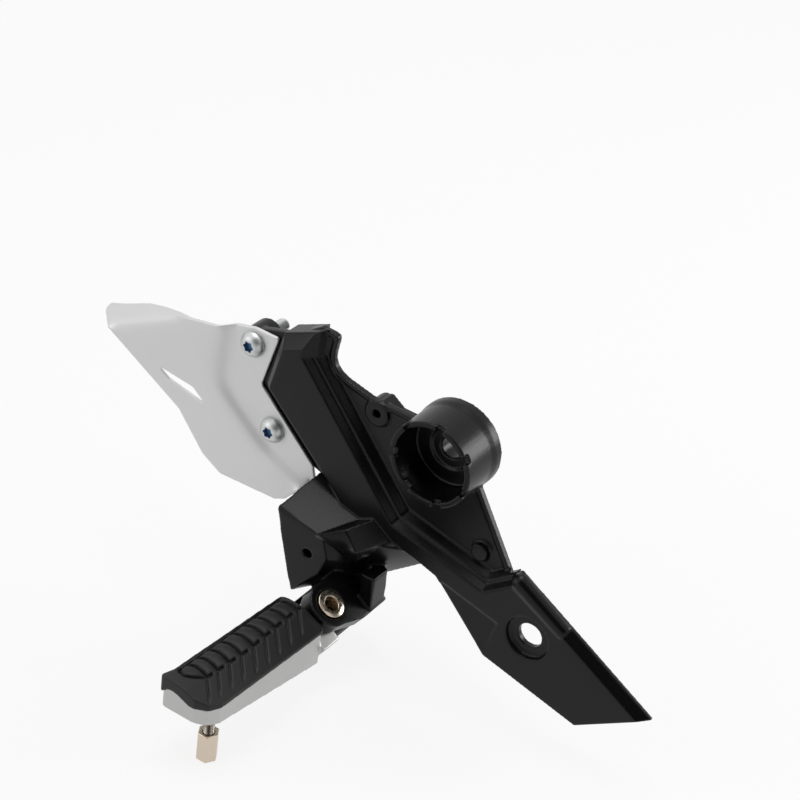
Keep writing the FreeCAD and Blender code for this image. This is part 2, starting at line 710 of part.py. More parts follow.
def guard_screw(end):
    """Round-headed screw of the heel guard with a six-lobed drive, shown plain."""
    x, z = f"sizes.{end}_screw_x", f"sizes.{end}_screw_z"
    flange = "sizes.guard_flange_depth"
    shank = lateral(f"{end}_shank", "sizes.screw_thread", x, z, f"{flange} - sizes.screw_length", flange)
    rim = lateral(f"{end}_head_rim", "sizes.screw_head_diameter", x, z, flange,
                  f"{flange} + sizes.screw_head_height * 0.3")
    dome = doc.addObject("Part::Cone", f"{end}_head_dome")
    bind(dome, Radius1="sizes.screw_head_diameter / 2", Radius2="sizes.screw_head_diameter / 3.2",
         Height="sizes.screw_head_height * 0.7")
    dome.Placement = Placement(Vector(0, 0, 0), Rotation(Vector(1, 0, 0), 90))
    dome.setExpression("Placement.Base.x", x)
    dome.setExpression("Placement.Base.y", f"-({flange}) - sizes.screw_head_height * 0.3")
    dome.setExpression("Placement.Base.z", z)
    drive = lateral(f"{end}_drive", "sizes.screw_drive", x, z,
                    f"{flange} + sizes.screw_head_height - sizes.screw_drive_depth",
                    f"{flange} + sizes.screw_head_height + 1")
    return cut(f"guard_screw_{end}", fuse(f"{end}_screw_solid", [shank, rim, dome]), drive)


def pivot_pin():
    """Hollow headed pin with a groove for its circlip."""
    head = stacked("pin_head", "sizes.pin_head_diameter", SEAT, "0")
    shank = stacked("pin_shank", "sizes.pin_diameter", PIN_LOW, SEAT)
    bore = stacked("pin_bore", "sizes.pin_bore", f"{PIN_LOW} - 1", "1")
    groove_outer = stacked("groove_outer", "sizes.pin_diameter + 2", CLIP_LOW, WASHER_LOW)
    groove_inner = stacked("groove_inner", "sizes.pin_diameter - 2 * sizes.groove_depth", CLIP_LOW, WASHER_LOW)
    groove = cut("pin_groove", groove_outer, groove_inner)
    return pivot_frame(cut("pivot_pin", fuse("pin_solid", [head, shank]), fuse("pin_voids", [bore, groove])))


def pin_washer():
    """Flat washer under the lower ear."""
    disc = stacked("washer_disc", "sizes.washer_diameter", WASHER_LOW, EAR_LOW)
    hole = stacked("washer_hole", "sizes.pin_diameter + 4 * sizes.pin_running_gap", f"{WASHER_LOW} - 1", EAR_LOW)
    return pivot_frame(cut("pin_washer", disc, hole))


def pin_circlip():
    """Open retaining ring in the pin's groove."""
    disc = stacked("clip_disc", "sizes.circlip_diameter", CLIP_LOW, WASHER_LOW)
    hole = stacked("clip_hole", "sizes.pin_diameter - 2 * sizes.groove_depth", f"{CLIP_LOW} - 1", WASHER_LOW)
    mouth = block("clip_mouth", "sizes.circlip_diameter", "sizes.pin_diameter * 0.35",
                  "sizes.circlip_thickness + 2",
                  ("0", "-sizes.pin_diameter * 0.175", f"{CLIP_LOW} - 1"))
    return pivot_frame(cut("pin_circlip", disc, fuse("clip_voids", [hole, mouth])))


def return_spring():
    """Close-wound torsion spring beside the tongue, its two legs along the arm and the peg."""
    turns = []
    radius, half = size("spring_radius"), size("spring_wire") / 2
    section = [(radius + half * math.cos(math.radians(60 * k)), half * math.sin(math.radians(60 * k)))
               for k in range(6)]
    for i in range(int(size("spring_turns"))):
        profile = closed_sketch(f"spring_section_{i}", section)
        profile.Placement = Placement(Vector(0, 0, 0), Rotation(Vector(1, 0, 0), 90))
        profile.setExpression("Placement.Base.z",
                              f"{GAP_LOW} + sizes.side_gap + sizes.spring_wire * (0.5 + {i} * 0.86)")
        ring = doc.addObject("Part::Revolution", f"spring_turn_{i}")
        ring.Source = profile
        ring.Axis = UP
        ring.Angle = 360
        ring.Solid = True
        turns.append(ring)
    leg = doc.addObject("Part::Cylinder", "spring_leg")
    bind(leg, Radius="sizes.spring_wire / 2", Height="sizes.ear_radius - sizes.spring_wire")
    leg.Placement = Placement(Vector(0, 0, 0), Rotation(Vector(1, 0, 0), 90))
    leg.setExpression("Placement.Base.x", "sizes.spring_radius")
    leg.setExpression("Placement.Base.z", f"{GAP_LOW} + sizes.side_gap + sizes.spring_wire * 0.5")
    return pivot_frame(fuse("return_spring", turns + [leg]))


def peg_root():
    """Depth of the tread's inner end, clear of the ear that it swings round."""
    return size("pin_depth") + size("ear_radius") + size("peg_root_gap")


def peg_outline(gap):
    """XY corners of the peg's tread, inset by a gap from the cast base's outline."""
    tip, root = -size("peg_tip_depth"), -peg_root()
    front, corner = size("peg_tip_front"), size("peg_front_corner")
    return [
        (size("peg_root_rear") + gap, root),
        (size("peg_root_front") - gap, root),
        (front - gap, tip + corner),
        (front - 0.35 * corner - gap, tip + 0.3 * corner),
        (front - corner, tip + gap),
        (size("peg_tip_rear") + gap, tip + gap),
        (size("peg_tip_rear") + size("peg_flare") + gap, tip + 2.2 * size("peg_flare")),
    ]


def peg_wedge():
    """Prism under the base whose sloping underside drops from the tip to the root."""
    tip, root, top = -size("peg_tip_depth"), -peg_root(), size("peg_base_top")
    low = top - size("peg_base_thickness")
    sketch = closed_sketch("peg_side", [(tip, low), (tip, top), (root, top), (root, low - size("peg_root_drop"))])
    sketch.Placement = Placement(Vector(-100, 0, 0), Rotation(Vector(1, 1, 1), 120))
    return extrude("peg_side_prism", sketch, Vector(1, 0, 0), "100")


def peg_body():
    """Cast footpeg: the tongue on the pivot, the arm and the base under the rubber."""
    drop = "(sizes.peg_base_thickness + sizes.peg_root_drop)"
    plan = top_plan("peg_base_outline", peg_outline(0), f"sizes.peg_base_top - {drop}")
    rounded = round_edges("peg_base_round", extrude("peg_base_prism", plan, UP, drop), size("peg_corner"), upright)
    base = common("peg_base", rounded, peg_wedge())
    reach = f"({PEG_ROOT} - sizes.pin_depth + 14)"
    boss = stacked("tongue_boss", "2 * sizes.tongue_radius", TONGUE_LOW, TONGUE_TOP)
    arm = block("peg_arm", "2 * sizes.tongue_radius", reach, f"({TONGUE_TOP}) - ({TONGUE_LOW})",
                ("-sizes.tongue_radius", f"-{reach}", TONGUE_LOW))
    tang_length = f"({PEG_ROOT} - sizes.pin_depth + 1)"
    tang = block("peg_tang", "sizes.tang_reach", tang_length, f"({TONGUE_TOP}) - ({TONGUE_LOW})",
                 ("0", f"-{tang_length}", TONGUE_LOW))
    hole = stacked("tongue_hole", PIN_HOLE, f"{GAP_LOW} - 5", "5")
    tongue = pivot_frame(cut("tongue", fuse("tongue_solid", [boss, arm, tang]), hole))
    above = block("above_base", "100", f"sizes.peg_tip_depth - {PEG_ROOT}", "40",
                  ("-100", "-sizes.peg_tip_depth", "sizes.peg_base_top"))
    voids = fuse("peg_voids", [feeler_cylinder("feeler_hole", "sizes.feeler_thread", "-50", "50"), above])
    body = cut("peg_casting", fuse("peg_solid", [base, tongue]), voids)
    return fuse("peg_body", [body, common("peg_end", tip_rise("peg_end_rise"), peg_prism("peg_end_outline", 0))])


def peg_prism(name, overhang):
    """Prism on the tread's outline from the base's top to the top of the rubber."""
    outline = top_plan(f"{name}_sketch", peg_outline(-overhang), "sizes.peg_base_top")
    prism = extrude(f"{name}_prism", outline, UP, "sizes.rubber_thickness")
    return round_edges(f"{name}_round", prism, size("peg_corner"), upright)


def tip_rise(name):
    """Low hump of the base at the peg's tip, which the end of the rubber follows."""
    rear, low, high = size("peg_tip_rear"), size("peg_base_top"), size("peg_base_top") + size("peg_rise")
    width = 2 * size("peg_base_thickness")
    corners = [(rear + 0.1 * width, low), (rear + 0.27 * width, high - 0.6), (rear + 0.45 * width, high),
               (rear + 0.6 * width, high - 0.6), (rear + width, low)]
    profile = side_plan(f"{name}_profile", corners, "sizes.peg_tip_depth + 5")
    return extrude(name, profile, INBOARD, "sizes.peg_rise_depth + 5")


def feeler_cylinder(name, diameter, low, high):
    """Upright cylinder on the feeler's axis, heights counted from the underside of the base."""
    solid = cylinder(name, diameter, f"({high}) - ({low})")
    solid.setExpression("Placement.Base.x", "sizes.feeler_x")
    solid.setExpression("Placement.Base.y", "-sizes.peg_tip_depth + sizes.feeler_setback")
    solid.setExpression("Placement.Base.z", f"sizes.peg_base_top - sizes.peg_base_thickness + ({low})")
    return solid


def tread_section(name, depth, rear, front):
    """Cross-section of the rubber: upright rear wall, crowned top and sloping front."""
    low, high = size("peg_base_top"), size("peg_base_top") + size("rubber_thickness")
    top, crown = size("tread_width"), size("tread_crown")
    corners = [(rear, low), (rear, high - 0.45 * crown), (rear + 0.25 * top, high - 0.1 * crown),
               (rear + 0.5 * top, high), (rear + 0.75 * top, high - 0.15 * crown),
               (rear + top, high - 0.6 * crown), (front, low + size("tread_edge")), (front, low)]
    return side_plan(name, corners, depth)


def peg_rubber():
    """Rubber tread: crowned pad with cross grooves between its ribs and creases down its front."""
    over = size("rubber_overhang")
    root = tread_section("tread_root", PEG_ROOT, size("peg_root_rear") - over, size("peg_root_front") + over)
    tip = tread_section("tread_tip", "sizes.peg_tip_depth + sizes.rubber_overhang",
                        size("peg_tip_rear") - over, size("peg_tip_front") + over)
    pad = common("rubber_pad", peg_prism("rubber", over), loft("tread_loft", [root, tip]))
    voids = [tip_rise("rubber_rise")]
    high = "sizes.peg_base_top + sizes.rubber_thickness"
    for i in range(int(size("rubber_ribs")) + 1):
        along = f"({PEG_ROOT} + sizes.rubber_rib_start + {i} * sizes.rubber_pitch)"
        share = f"(({along} - {PEG_ROOT}) / (sizes.peg_tip_depth - {PEG_ROOT}))"
        rear = f"(sizes.peg_root_rear + {share} * (sizes.peg_tip_rear - sizes.peg_root_rear))"
        groove = cylinder(f"rubber_groove_{i}", "sizes.rubber_groove", "sizes.tread_width + 2")
        groove.Placement = Placement(Vector(0, 0, 0), Rotation(Vector(0, 1, 0), 90))
        groove.setExpression("Placement.Base.x", f"{rear} - 1")
        groove.setExpression("Placement.Base.y", f"-{along}")
        groove.setExpression("Placement.Base.z", f"{high} - 0.3 * sizes.tread_crown")
        crease = cylinder(f"rubber_crease_{i}", "sizes.rubber_groove", "sizes.tread_crease")
        crease.Placement = Placement(Vector(0, 0, 0), Rotation(UP, CREASE))
        crease.setExpression("Placement.Base.x", f"{rear} + sizes.tread_width")
        crease.setExpression("Placement.Base.y", f"-{along}")
        crease.setExpression("Placement.Base.z", f"{high} - 0.6 * sizes.tread_crown")
        voids += [groove, crease]
    return cut("peg_rubber", pad, fuse("rubber_voids", voids))


def feeler_stud():
    """Threaded stud of the lean-angle feeler, shown without its thread."""
    low = "sizes.peg_base_thickness - sizes.feeler_length"
    return feeler_cylinder("feeler_stud", "sizes.feeler_thread", low, "sizes.peg_base_thickness")


def feeler_sleeve():
    """Hexagonal feeler screwed on the stud."""
    prism = doc.addObject("Part::Prism", "feeler_hex")
    prism.Polygon = 6
    bind(prism, Circumradius="sizes.feeler_hex / 2 / cos(30deg)", Height="sizes.feeler_hex_length")
    prism.setExpression("Placement.Base.x", "sizes.feeler_x")
    prism.setExpression("Placement.Base.y", "-sizes.peg_tip_depth + sizes.feeler_setback")
    low = "sizes.peg_base_top - sizes.peg_base_thickness - sizes.feeler_hex_drop - sizes.feeler_hex_length"
    prism.setExpression("Placement.Base.z", low)
    hole = feeler_cylinder("feeler_hex_hole", "sizes.feeler_thread", "-60", "0")
    return cut("feeler_sleeve", prism, hole)


def check(pieces):
    """Stop if any object failed to build or a piece has no valid solid."""
    doc.recompute()
    failed = [o.Name for o in doc.Objects if {"Invalid", "Error"} & set(o.State)]
    failed += [p.Label for p in pieces if p.Shape.isNull() or not p.Shape.isValid() or not p.Shape.Solids]
    if failed:
        raise RuntimeError(f"failed to build: {failed}")


fill_sheet()
PIECES = [
    casting(),
    heel_guard(),
    guard_screw("upper"),
    guard_screw("lower"),
    pivot_pin(),
    pin_washer(),
    pin_circlip(),
    return_spring(),
    peg_body(),
    peg_rubber(),
    feeler_stud(),
    feeler_sleeve(),
]
check(PIECES)
os.makedirs("parts", exist_ok=True)
for piece in PIECES:
    piece.Shape.exportStep(f"parts/{piece.Label}.step")
    print(piece.Label, len(piece.Shape.Solids), round(piece.Shape.Volume))
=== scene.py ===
"""Footrest hanger with a folding peg and a heel guard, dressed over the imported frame."""

from __future__ import annotations

import json
import logging
import math
from dataclasses import dataclass, field
from enum import Enum

import bpy
from mathutils import Matrix, Vector

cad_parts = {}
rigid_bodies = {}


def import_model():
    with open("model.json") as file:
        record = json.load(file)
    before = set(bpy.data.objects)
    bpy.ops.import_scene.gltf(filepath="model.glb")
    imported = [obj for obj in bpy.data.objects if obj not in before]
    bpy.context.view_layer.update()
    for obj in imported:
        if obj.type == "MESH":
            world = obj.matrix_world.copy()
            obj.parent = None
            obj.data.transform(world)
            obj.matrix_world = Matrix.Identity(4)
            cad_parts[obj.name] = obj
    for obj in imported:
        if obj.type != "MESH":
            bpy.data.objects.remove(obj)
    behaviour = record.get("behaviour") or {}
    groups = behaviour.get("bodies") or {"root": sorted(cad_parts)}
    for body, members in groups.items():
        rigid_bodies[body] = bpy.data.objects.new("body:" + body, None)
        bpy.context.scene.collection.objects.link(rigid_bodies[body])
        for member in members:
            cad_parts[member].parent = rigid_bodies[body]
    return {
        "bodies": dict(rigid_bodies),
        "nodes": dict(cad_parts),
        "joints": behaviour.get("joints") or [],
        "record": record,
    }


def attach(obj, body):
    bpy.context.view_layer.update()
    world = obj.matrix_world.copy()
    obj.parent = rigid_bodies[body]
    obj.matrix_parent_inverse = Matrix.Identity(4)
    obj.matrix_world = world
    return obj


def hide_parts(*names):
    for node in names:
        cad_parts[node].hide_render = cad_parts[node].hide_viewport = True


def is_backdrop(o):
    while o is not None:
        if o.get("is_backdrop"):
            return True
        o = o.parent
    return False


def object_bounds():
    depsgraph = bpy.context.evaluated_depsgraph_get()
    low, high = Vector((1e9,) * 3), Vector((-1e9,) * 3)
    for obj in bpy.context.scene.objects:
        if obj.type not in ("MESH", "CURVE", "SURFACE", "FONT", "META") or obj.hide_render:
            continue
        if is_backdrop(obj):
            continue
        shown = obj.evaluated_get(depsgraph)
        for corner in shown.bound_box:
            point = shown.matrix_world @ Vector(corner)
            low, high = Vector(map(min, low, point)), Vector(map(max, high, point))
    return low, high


LOG = logging.getLogger("footrest_hanger")
MM = 0.001
FLOOR_GAP = 0.5 * MM
Pair = tuple[float, float]
Triple = tuple[float, float, float]


class Body(Enum):
    """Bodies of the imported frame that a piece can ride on."""

    HANGER = "hanger"
    FOOTPEG = "footpeg"


class Slot(Enum):
    """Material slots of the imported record."""

    BLACK_CASTING = "black_casting"
    GUARD_SHEET = "guard_sheet"
    ZINC = "zinc"
    NICKEL = "nickel"
    SPRING_STEEL = "spring_steel"
    SILVER_CASTING = "silver_casting"
    RUBBER = "rubber"


class Lay(Enum):
    """How the grain of a finish lies: even in all directions, or drawn out round turned work."""

    EVEN = (1.0, 1.0, 1.0)
    TURNED = (0.25, 0.25, 1.0)


@dataclass(frozen=True)
class Finish:
    """One surface finish, with its colour, gloss and fine relief."""

    slot: Slot
    colour: Triple
    shade: Triple
    metallic: float
    roughness: float
    spread: float
    grain: float
    relief: float
    lay: Lay = Lay.EVEN
    specular: float = 0.5
    cloud: float = 35.0
    part: str = ""
    cloud_detail: float = 3.0
    grain_detail: float = 4.0
    grain_range: Pair = (0.3, 0.7)
    relief_height: float = 0.15 * MM

    def build(self) -> bpy.types.Material:
        """Make the node material of this finish.

        Returns:
            The new material.
        """
        material = bpy.data.materials.new(f"finish_{self.slot.value}{self.part}")
        material.use_nodes = True
        nodes, links = material.node_tree.nodes, material.node_tree.links
        shader = nodes["Principled BSDF"]
        shader.inputs["Metallic"].default_value = self.metallic
        shader.inputs["Specular IOR Level"].default_value = self.specular
        place = nodes.new("ShaderNodeTexCoord")
        stretch = nodes.new("ShaderNodeMapping")
        stretch.inputs["Scale"].default_value = self.lay.value
        links.new(place.outputs["Object"], stretch.inputs["Vector"])
        clouds = self._noise(nodes, self.cloud, self.cloud_detail)
        links.new(place.outputs["Object"], clouds.inputs["Vector"])
        grain = self._noise(nodes, self.grain, self.grain_detail)
        links.new(stretch.outputs["Vector"], grain.inputs["Vector"])
        tone = nodes.new("ShaderNodeMix")
        tone.data_type = "RGBA"
        tone.inputs["A"].default_value = (*self.shade, 1.0)
        tone.inputs["B"].default_value = (*self.colour, 1.0)
        links.new(clouds.outputs["Fac"], tone.inputs["Factor"])
        links.new(tone.outputs["Result"], shader.inputs["Base Color"])
        gloss = nodes.new("ShaderNodeMapRange")
        gloss.inputs["From Min"].default_value = self.grain_range[0]
        gloss.inputs["From Max"].default_value = self.grain_range[1]
        gloss.inputs["To Min"].default_value = self.roughness - self.spread
        gloss.inputs["To Max"].default_value = self.roughness + self.spread
        links.new(grain.outputs["Fac"], gloss.inputs["Value"])
        links.new(gloss.outputs["Result"], shader.inputs["Roughness"])
        bump = nodes.new("ShaderNodeBump")
        bump.inputs["Strength"].default_value = self.relief
        bump.inputs["Distance"].default_value = self.relief_height
        links.new(grain.outputs["Fac"], bump.inputs["Height"])
        links.new(bump.outputs["Normal"], shader.inputs["Normal"])
        return material

    @staticmethod
    def _noise(nodes: bpy.types.Nodes, scale: float, detail: float) -> bpy.types.Node:
        """Add a noise texture.

        Args:
            nodes: Nodes of the material.
            scale: Scale per metre.
            detail: Number of octaves.

        Returns:
            The new node.
        """
        noise = nodes.new("ShaderNodeTexNoise")
        noise.inputs["Scale"].default_value = scale
        noise.inputs["Detail"].default_value = detail
        return noise


FINISHES: tuple[Finish, ...] = (
    Finish(slot=Slot.BLACK_CASTING, colour=(0.0045, 0.0045, 0.005), shade=(0.003, 0.003, 0.0035),
           metallic=0.0, roughness=0.29, spread=0.05, grain=2600.0, relief=0.10, specular=0.20),
    Finish(slot=Slot.GUARD_SHEET, colour=(0.70, 0.70, 0.705), shade=(0.66, 0.66, 0.665),
           metallic=0.55, roughness=0.44, spread=0.04, grain=3200.0, relief=0.10),
    Finish(slot=Slot.ZINC, colour=(0.60, 0.61, 0.61), shade=(0.53, 0.545, 0.55),
           metallic=0.85, roughness=0.40, spread=0.06, grain=900.0, relief=0.06, cloud=90.0),
    Finish(slot=Slot.NICKEL, colour=(0.66, 0.57, 0.47), shade=(0.58, 0.49, 0.39),
           metallic=1.0, roughness=0.25, spread=0.06, grain=700.0, relief=0.05, lay=Lay.TURNED),
    Finish(slot=Slot.SPRING_STEEL, colour=(0.20, 0.20, 0.21), shade=(0.12, 0.12, 0.13),
           metallic=1.0, roughness=0.36, spread=0.06, grain=900.0, relief=0.06),
    Finish(slot=Slot.SILVER_CASTING, colour=(0.51, 0.51, 0.505), shade=(0.46, 0.46, 0.455),
           metallic=0.75, roughness=0.36, spread=0.06, grain=1800.0, relief=0.12),
    Finish(slot=Slot.RUBBER, colour=(0.011, 0.011, 0.011), shade=(0.008, 0.008, 0.008),
           metallic=0.0, roughness=0.50, spread=0.08, grain=2200.0, relief=0.20, specular=0.30),
)
DRIVE_FINISH = Finish(slot=Slot.ZINC, colour=(0.12, 0.25, 0.40), shade=(0.07, 0.16, 0.28),
                      metallic=0.6, roughness=0.38, spread=0.06, grain=900.0, relief=0.06, part="_drive")
STUD_FINISH = Finish(slot=Slot.ZINC, colour=(0.36, 0.32, 0.28), shade=(0.28, 0.25, 0.22),
                     metallic=1.0, roughness=0.34, spread=0.06, grain=900.0, relief=0.06, part="_stud")


class Bench:
    """Workbench for modelling: selection, copies, modifiers and the hand-over to the frame."""

    MERGE = 0.01 * MM
    SMOOTHING = 0.5
    FLAT_ANGLE = math.radians(1.0)
    BEVEL_ANGLE = math.radians(35.0)
    BEVEL_SEGMENTS = 2
    SHADE_ANGLE = math.radians(40.0)

    def __init__(self, frame: dict) -> None:
        """Keep the frame and make its finishes.
        """
        self.nodes: dict[str, bpy.types.Object] = frame["nodes"]
        self.finishes = {finish.slot: finish.build() for finish in FINISHES}

    @staticmethod
    def clear() -> None:
        """Leave edit mode and deselect everything."""
        if bpy.context.object is not None and bpy.context.object.mode != "OBJECT":
            bpy.ops.object.mode_set(mode="OBJECT")
        bpy.ops.object.select_all(action="DESELECT")

    @classmethod
    def take(cls, piece: bpy.types.Object) -> bpy.types.Object:
        """Select one piece alone and make it active.

        Args:
            piece: The object to work on.

        Returns:
            The same object.
        """
        cls.clear()
        piece.select_set(True)
        bpy.context.view_layer.objects.active = piece
        return piece

    @classmethod
    def apply(cls, piece: bpy.types.Object, kind: str, **settings: object) -> None:
        """Add a modifier with its settings and apply it.

        Args:
            piece: The object to change.
            kind: Modifier type.
            settings: Modifier properties by name.
        """
        cls.take(piece)
        modifier = piece.modifiers.new(kind.lower(), kind)
        for name, value in settings.items():
            setattr(modifier, name, value)
        bpy.ops.object.modifier_apply(modifier=modifier.name)

    @classmethod
    def remesh(cls, piece: bpy.types.Object, voxel: float) -> None:
        """Give a piece an even mesh of a voxel size in metres."""
        cls.apply(piece, "REMESH", mode="VOXEL", voxel_size=voxel, adaptivity=0.0)

    @classmethod
    def smooth(cls, piece: bpy.types.Object, passes: int, group: str = "") -> None:
        """Smooth a piece, or a vertex group of it, by a number of passes."""
        cls.apply(piece, "SMOOTH", factor=cls.SMOOTHING, iterations=passes, vertex_group=group)

    @classmethod
    def thin(cls, piece: bpy.types.Object, keep: float) -> None:
        """Thin a piece's mesh to a share of its triangles."""
        cls.apply(piece, "DECIMATE", ratio=keep)

    def copy(self, node: str) -> bpy.types.Object:
        """Copy a node of the frame as a closed mesh to work on.

        Args:
            node: Name of the node.

        Returns:
            The copy, with its loose triangles merged.
        """
        piece = bpy.data.objects.new(f"{node}_cast", self.nodes[node].data.copy())
        bpy.context.scene.collection.objects.link(piece)
        self.take(piece)
        piece.data.materials.clear()
        bpy.ops.object.mode_set(mode="EDIT")
        bpy.ops.mesh.select_all(action="SELECT")
        bpy.ops.mesh.remove_doubles(threshold=self.MERGE)
        bpy.ops.mesh.normals_make_consistent(inside=False)
        bpy.ops.object.mode_set(mode="OBJECT")
        return piece

    def softened(self, node: str, voxel: float, passes: int, keep: float = 1.0) -> bpy.types.Object:
        """Copy a node with its edges and corners rounded over as a casting's are.

        Args:
            node: Name of the node.
            voxel: Size of the remesh in metres.
            passes: How many smoothing passes round the edges.
            keep: Share of the triangles that stay.

        Returns:
            The rounded copy.
        """
        piece = self.copy(node)
        self.remesh(piece, voxel)
        self.smooth(piece, passes)
        self.thin(piece, keep)
        self.take(piece)
        bpy.ops.object.shade_smooth()
        return piece

    def bevelled(self, node: str, width: float) -> bpy.types.Object:
        """Copy a node with its sharp edges broken by a small round.

        Args:
            node: Name of the node.
            width: Width of the round in metres.

        Returns:
            The bevelled copy.
        """
        piece = self.copy(node)
        bpy.ops.object.mode_set(mode="EDIT")
        bpy.ops.mesh.select_all(action="SELECT")
        bpy.ops.mesh.dissolve_limited(angle_limit=self.FLAT_ANGLE)
        bpy.ops.object.mode_set(mode="OBJECT")
        self.apply(piece, "BEVEL", width=width, segments=self.BEVEL_SEGMENTS, limit_method="ANGLE",
                   angle_limit=self.BEVEL_ANGLE, use_clamp_overlap=True)
        self.take(piece)
        bpy.ops.object.shade_smooth_by_angle(angle=self.SHADE_ANGLE)
        return piece

    @classmethod
    def joined(cls, *pieces: bpy.types.Object) -> bpy.types.Object:
        """Join pieces into the first of them.

        Args:
            pieces: Objects to join.

        Returns:
            The first object.
        """
        cls.take(pieces[0])
        for piece in pieces[1:]:
            piece.select_set(True)
        bpy.ops.object.join()
        return pieces[0]

    def hand_over(self, piece: bpy.types.Object, name: str, slot: Slot, body: Body, *nodes: str) -> None:
        """Name, paint and place a finished piece on its body.

        Args:
            piece: The finished object.
            name: Its name in the scene.
            slot: Material slot of its finish.
            body: Body that it moves with.
            nodes: Nodes of the frame that it stands for.
        """
        piece.name = name
        piece.data.name = name
        piece.data.materials.clear()
        piece.data.materials.append(self.finishes[slot])
        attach(piece, body.value)
        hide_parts(*nodes)
        LOG.info("%s: %d faces on %s", name, len(piece.data.polygons), body.value)


class Thread(Enum):
    """Coarse threads used here: radius and pitch in millimetres."""

    GUARD_SCREW = (3.9, 1.25)
    FEELER = (3.0, 1.0)

    @property
    def radius(self) -> float:
        """Radius over the crests."""
        return self.value[0]

    @property
    def pitch(self) -> float:
        """Distance from crest to crest."""
        return self.value[1]


class Turning:
    """Round work, built ring by ring along Z and then stood on its axis.

    CORE and POINT are shares of a thread's radius, at its root and at its end. ROOT_AT, CREST_AT and RUN_OUT
    are shares of its pitch.
    """

    SAME = 1e-6
    CORE = 0.84
    POINT = 0.72
    ROOT_AT = 0.25
    CREST_AT = 0.75
    RUN_OUT = 0.4
    SHADE_ANGLE = math.radians(38.0)

    def __init__(self, radius: float, height: float, segments: int = 48) -> None:
        """Start from a disc.

        Args:
            radius: Radius of the disc in millimetres.
            height: Its height in millimetres.
            segments: Corners of each ring.
        """
        Bench.clear()
        bpy.ops.mesh.primitive_circle_add(vertices=segments, radius=radius * MM, fill_type="NGON",
                                          location=(0.0, 0.0, height * MM))
        bpy.ops.object.transform_apply(location=True, rotation=False, scale=False)
        self.piece = bpy.context.object
        self.radius, self.height = radius, height
        bpy.ops.object.mode_set(mode="EDIT")
        bpy.ops.mesh.select_all(action="SELECT")

    def to(self, radius: float, height: float) -> Turning:
        """Draw the end disc out to a new radius and height.

        Args:
            radius: New radius in millimetres.
            height: New height in millimetres.

        Returns:
            The turning itself.
        """
        bpy.ops.mesh.extrude_region_move(
            TRANSFORM_OT_translate={"value": (0.0, 0.0, (height - self.height) * MM)})
        if abs(radius - self.radius) > self.SAME:
            grow = radius / self.radius
            bpy.ops.transform.resize(value=(grow, grow, 1.0), center_override=(0.0, 0.0, height * MM))
        self.radius, self.height = radius, height
        return self

    def lobes(self, count: int, shrink: float) -> Turning:
        """Pull the end disc in between evenly spaced lobes.

        Args:
            count: Number of lobes.
            shrink: Share of the radius left at the hollows.

        Returns:
            The turning itself.
        """
        bpy.ops.object.mode_set(mode="OBJECT")
        for vertex in self.piece.data.vertices:
            if vertex.select:
                angle = math.atan2(vertex.co.y, vertex.co.x)
                pull = 1.0 - (1.0 - shrink) * (0.5 - 0.5 * math.cos(count * angle))
                vertex.co.x, vertex.co.y = vertex.co.x * pull, vertex.co.y * pull
        bpy.ops.object.mode_set(mode="EDIT")
        return self

    def threaded(self, thread: Thread, end: float) -> Turning:
        """Cut a thread along the shaft up to a height.

        Args:
            thread: The thread's radius and pitch.
            end: Height of the shaft's end in millimetres.

        Returns:
            The turning itself.
        """
        radius, pitch = thread.radius, thread.pitch
        start = self.height
        for i in range(int((end - start) / pitch) - 1):
            self.to(self.CORE * radius, start + (i + self.ROOT_AT) * pitch)
            self.to(radius, start + (i + self.CREST_AT) * pitch)
        self.to(self.CORE * radius, end - self.RUN_OUT * pitch)
        self.to(self.POINT * radius, end)
        bpy.ops.object.mode_set(mode="OBJECT")
        for vertex in self.piece.data.vertices:
            if start + pitch < vertex.co.z / MM < end - pitch:
                vertex.co.z += pitch * MM * math.atan2(vertex.co.y, vertex.co.x) / (2.0 * math.pi)
        bpy.ops.object.mode_set(mode="EDIT")
        return self

    def stood(self, place: Vector, axis: Vector) -> bpy.types.Object:
        """Close the work and stand it on its axis.

        Args:
            place: Point of the axis that height zero goes to, in millimetres.
            axis: Direction that Z turns to.

        Returns:
            The finished object at the origin, its place in its mesh.
        """
        bpy.ops.mesh.select_all(action="SELECT")
        bpy.ops.mesh.normals_make_consistent(inside=False)
        bpy.ops.object.mode_set(mode="OBJECT")
        Bench.take(self.piece)
        bpy.ops.object.shade_smooth_by_angle(angle=self.SHADE_ANGLE)
        turn = axis.to_track_quat("Z", "Y").to_matrix().to_4x4()
        self.piece.matrix_world = Matrix.Translation(place * MM) @ turn
        bpy.ops.object.transform_apply(location=True, rotation=True, scale=True)
        return self.piece


